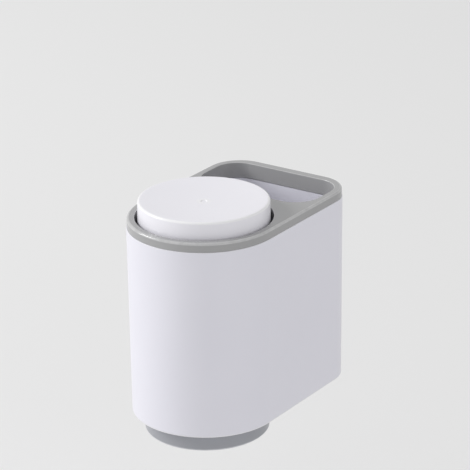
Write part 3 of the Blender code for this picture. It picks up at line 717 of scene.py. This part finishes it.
def drip_cup():
    """The cup with its flange, foot ring and pads."""
    low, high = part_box("drip_cup")
    flange_top = floor_z + SEAT_GAP + FLANGE_THICKNESS
    flange_low = floor_z + SEAT_GAP
    flange_radius = high.x
    inner = CUP_RADIUS - CUP_WALL
    inner_floor = low.z + CUP_WALL
    foot = CUP_RADIUS - CUP_FOOT_RING
    shape = turned([
        (0, inner_floor), (inner, inner_floor), (inner, flange_top), (flange_radius, flange_top),
        (flange_radius, flange_low), (CUP_RADIUS, flange_low), (CUP_RADIUS, low.z),
        (foot, low.z), (foot - CUP_FOOT_RECESS, low.z + CUP_FOOT_RECESS),
        (0, low.z + CUP_FOOT_RECESS),
    ])
    for radius, z, rounding, segments in (
        (inner, inner_floor, CUP_BOTTOM_EDGE, CUP_INSIDE_STEPS),
        (CUP_RADIUS, low.z, CUP_BOTTOM_EDGE, CUP_BOTTOM_STEPS),
        (inner, flange_top, CUP_SMALL_EDGE, CUP_SMALL_STEPS),
        (flange_radius, flange_top, CUP_SMALL_EDGE, CUP_SMALL_STEPS),
        (flange_radius, flange_low, CUP_SMALL_EDGE, CUP_SMALL_STEPS),
    ):
        round_over(shape, ring_edges(shape, radius, z), rounding, segments)
    pads = []
    reach = flange_radius - SEAT_GAP - PAD_WIDTH / 2
    for index in range(PAD_COUNT):
        pad = upright_block(
            (-PAD_LENGTH / 2, cup_y + reach - PAD_WIDTH / 2, flange_top - CUP_SMALL_EDGE),
            (PAD_LENGTH / 2, cup_y + reach + PAD_WIDTH / 2, high.z),
            CUP_SMALL_EDGE, CUP_SMALL_EDGE, CUP_SMALL_STEPS,
        )
        round_over(pad, sharp_edges(pad, lambda at: at.z > high.z - SAME_POINT), CUP_SMALL_EDGE)
        turn = Matrix.Rotation(math.radians(360 * index / PAD_COUNT), 3, "Z")
        bmesh.ops.rotate(pad, cent=(0, cup_y, 0), matrix=turn, verts=pad.verts)
        pads.append(pad)
    return with_solids("UNION", shape, *pads)


drip_cup_shape = drip_cup()
cool_grey = moulded_plastic(
    "cool_grey_polypropylene", CUP_COLOURS, CUP_ROUGHNESSES, CUP_EDGE_HIGHLIGHT, CUP_TOOTH,
)
as_piece("cool_grey_drip_cup", drip_cup_shape, cool_grey, "drip_cup", "cool_grey_pp", "drip_cup")


# Tumbler: a plain tapered white cup, stored foot up on the drip cup's pads. Its foot is dished
# inside a soft rim, and the point where it was filled in the mould is left at the centre.
TUMBLER_COLOURS = ((0.884, 0.874, 0.928), (0.896, 0.886, 0.940))
TUMBLER_ROUGHNESSES = (0.20, 0.27)
# Lighter colour painted along the rounded edges as a highlight.
TUMBLER_EDGE_HIGHLIGHT = (0.92, 0.92, 0.93)
TUMBLER_TOOTH = 0.00001
TUMBLER_WALL, TUMBLER_BASE = 0.0018, 0.0022
TUMBLER_TAPER = 0.0010
TUMBLER_EDGE = 0.0012
LIP_EDGE = TUMBLER_WALL / 2.2
FOOT_STEPS, LIP_STEPS, INSIDE_STEPS = 8, 5, 6
DISH_DEPTH, DISH_RINGS = 0.0012, 10
FOOT_RIM = 0.0008
GATE_RADIUS, GATE_HEIGHT = 0.0009, 0.0002
DIMPLE_RADIUS, DIMPLE_DEPTH = 0.0018, 0.00035


def tumbler():
    """The cup, mouth down, with its dished foot and gate mark."""
    low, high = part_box("tumbler")
    mouth = high.x
    foot = mouth - TUMBLER_TAPER
    dish = foot - TUMBLER_EDGE - FOOT_RIM
    dish_z = high.z - DISH_DEPTH
    inner_top = dish_z - TUMBLER_BASE
    dimple_z = dish_z - DIMPLE_DEPTH
    shape = turned([
        (0, dimple_z + GATE_HEIGHT), (GATE_RADIUS, dimple_z + GATE_HEIGHT), (GATE_RADIUS, dimple_z),
        (DIMPLE_RADIUS - DIMPLE_DEPTH, dimple_z), (DIMPLE_RADIUS, dish_z), (dish, high.z),
        (foot, high.z), (mouth, low.z), (mouth - TUMBLER_WALL, low.z),
        (foot - TUMBLER_WALL, inner_top), (0, inner_top),
    ])
    slope = [
        edge for edge in shape.edges
        if {round(math.hypot(v.co.x, v.co.y - cup_y), 5) for v in edge.verts}
        == {round(DIMPLE_RADIUS, 5), round(dish, 5)}
    ]
    bmesh.ops.subdivide_edges(shape, edges=slope, cuts=DISH_RINGS)
    for vert in shape.verts:
        radius = math.hypot(vert.co.x, vert.co.y - cup_y)
        if vert.co.z > dish_z + SAME_POINT and radius < dish - SAME_POINT:
            share = (radius - DIMPLE_RADIUS) / (dish - DIMPLE_RADIUS)
            vert.co.z = dish_z + DISH_DEPTH * share ** 2
    for radius, z, rounding, segments in (
        (foot, high.z, TUMBLER_EDGE, FOOT_STEPS), (mouth, low.z, LIP_EDGE, LIP_STEPS),
        (mouth - TUMBLER_WALL, low.z, LIP_EDGE, LIP_STEPS),
        (foot - TUMBLER_WALL, inner_top, TUMBLER_EDGE, INSIDE_STEPS),
    ):
        round_over(shape, ring_edges(shape, radius, z), rounding, segments)
    return shape


tumbler_shape = tumbler()
tumbler_white = moulded_plastic(
    "white_abs_tumbler", TUMBLER_COLOURS, TUMBLER_ROUGHNESSES, TUMBLER_EDGE_HIGHLIGHT, TUMBLER_TOOTH,
)
as_piece("white_tumbler", tumbler_shape, tumbler_white, "tumbler", "white_abs", "tumbler")


# Stage: a pale floor below the hanging holder, which fades into an even world, and a camera where
# the photograph was taken from. Each soft lamp, a key at the left, a fill at the right and one high
# behind, is azimuth to the left and elevation in degrees, distance and size in metres, and level.
FLOOR_DROP = 0.10
FLOOR_RADIUS = 3.0
FADE_START, FADE_END = 0.8, 2.6
FLOOR_SEEN, FLOOR_BOUNCE = 0.86, 0.76
FLOOR_ROUGHNESS = 0.85
FLOOR_SIDES = 64
WORLD_SEEN, WORLD_LEVEL = 0.76, 0.56
KEY = (62, 27, 4.0, 1.9, 0.64)
FILL = (-60, 12, 4.0, 2.5, 0.14)
TOP = (-150, 60, 4.0, 1.2, 0.06)
CAMERA_LOCATION = (0.73259, -1.12434, 0.53428)
CAMERA_RIGHT = (0.82733, 0.56160, -0.01154)
CAMERA_UP = (-0.19661, 0.30875, 0.93060)
CAMERA_BACK = (0.52617, -0.76765, 0.36586)
CAMERA_LENS = 204.532
CAMERA_NEAR, CAMERA_FAR = 0.01, 20


def seen_or_reflected(nodes, links, path):
    """One where the camera looks straight, in a reflection or through something, and else zero."""
    found = path.outputs["Is Camera Ray"]
    for label in ("Is Glossy Ray", "Is Transmission Ray"):
        either = nodes.new("ShaderNodeMath")
        either.operation = "MAXIMUM"
        links.new(found, either.inputs[0])
        links.new(path.outputs[label], either.inputs[1])
        found = either.outputs["Value"]
    return found


def pale_floor():
    """A wide pale disc that fades out far away, and whose underside the camera sees through."""
    shape = bmesh.new()
    bmesh.ops.create_circle(
        shape, cap_ends=True, segments=FLOOR_SIDES, radius=FLOOR_RADIUS,
        matrix=Matrix.Translation((0, cup_y, cad_low.z - FLOOR_DROP)),
    )
    mesh = bpy.data.meshes.new("pale_floor")
    shape.to_mesh(mesh)
    shape.free()
    material, shader, nodes, links = blank_material("pale_floor", FLOOR_ROUGHNESS)
    shader.inputs["Specular IOR Level"].default_value = 0
    surface = nodes.new("ShaderNodeNewGeometry")
    path = nodes.new("ShaderNodeLightPath")
    colour = ranged(nodes, 0, 1, FLOOR_BOUNCE, FLOOR_SEEN)
    links.new(seen_or_reflected(nodes, links, path), colour.inputs["Value"])
    links.new(colour.outputs["Result"], shader.inputs["Base Color"])
    hidden = nodes.new("ShaderNodeMath")
    hidden.operation = "MULTIPLY"
    clear = nodes.new("ShaderNodeBsdfTransparent")
    mixed = nodes.new("ShaderNodeMixShader")
    links.new(surface.outputs["Backfacing"], hidden.inputs[0])
    links.new(path.outputs["Is Camera Ray"], hidden.inputs[1])
    place = nodes.new("ShaderNodeTexCoord")
    away = nodes.new("ShaderNodeVectorMath")
    away.operation = "LENGTH"
    fade = ranged(nodes, FADE_START, FADE_END, 0, 1)
    fade.interpolation_type = "SMOOTHSTEP"
    gone = nodes.new("ShaderNodeMath")
    gone.operation = "MAXIMUM"
    links.new(place.outputs["Object"], away.inputs[0])
    links.new(away.outputs["Value"], fade.inputs["Value"])
    links.new(hidden.outputs["Value"], gone.inputs[0])
    links.new(fade.outputs["Result"], gone.inputs[1])
    links.new(gone.outputs["Value"], mixed.inputs["Fac"])
    links.new(shader.outputs["BSDF"], mixed.inputs[1])
    links.new(clear.outputs["BSDF"], mixed.inputs[2])
    links.new(mixed.outputs["Shader"], nodes["Material Output"].inputs["Surface"])
    mesh.materials.append(material)
    floor = bpy.data.objects.new("pale_floor", mesh)
    bpy.context.scene.collection.objects.link(floor)


def soft_lamp(name, azimuth, elevation, distance, size, level):
    """A square softbox that faces the cup and adds a level of light at it."""
    around, above = math.radians(azimuth), math.radians(elevation)
    towards = Vector((
        -math.sin(around) * math.cos(above), -math.cos(around) * math.cos(above), math.sin(above),
    ))
    data = bpy.data.lights.new(name, "AREA")
    data.shape = "SQUARE"
    data.size = size
    data.energy = level * (math.pi * distance) ** 2
    lamp = bpy.data.objects.new(name, data)
    lamp.location = Vector((0, cup_y, 0)) + towards * distance
    lamp.rotation_mode = "QUATERNION"
    lamp.rotation_quaternion = towards.to_track_quat("Z", "Y")
    bpy.context.scene.collection.objects.link(lamp)


def even_world():
    """The same soft light from every side, which the camera sees as pale as the floor."""
    world = bpy.data.worlds.new("even_light")
    bpy.context.scene.world = world
    world.use_nodes = True
    nodes, links = world.node_tree.nodes, world.node_tree.links
    background = nodes["Background"]
    background.inputs["Color"].default_value = (1, 1, 1, 1)
    path = nodes.new("ShaderNodeLightPath")
    strength = ranged(nodes, 0, 1, WORLD_LEVEL, WORLD_SEEN)
    links.new(seen_or_reflected(nodes, links, path), strength.inputs["Value"])
    links.new(strength.outputs["Result"], background.inputs["Strength"])


pale_floor()
soft_lamp("key_softbox", *KEY)
soft_lamp("fill_softbox", *FILL)
soft_lamp("top_softbox", *TOP)
even_world()
camera = bpy.data.objects.new("camera", bpy.data.cameras.new("camera"))
camera.data.lens = CAMERA_LENS
camera.data.clip_start = CAMERA_NEAR
camera.data.clip_end = CAMERA_FAR
camera.matrix_world = Matrix.Translation(CAMERA_LOCATION) @ Matrix(
    (CAMERA_RIGHT, CAMERA_UP, CAMERA_BACK)
).transposed().to_4x4()
bpy.context.scene.collection.objects.link(camera)
bpy.context.scene.camera = camera
bpy.context.scene.view_settings.view_transform = "Standard"
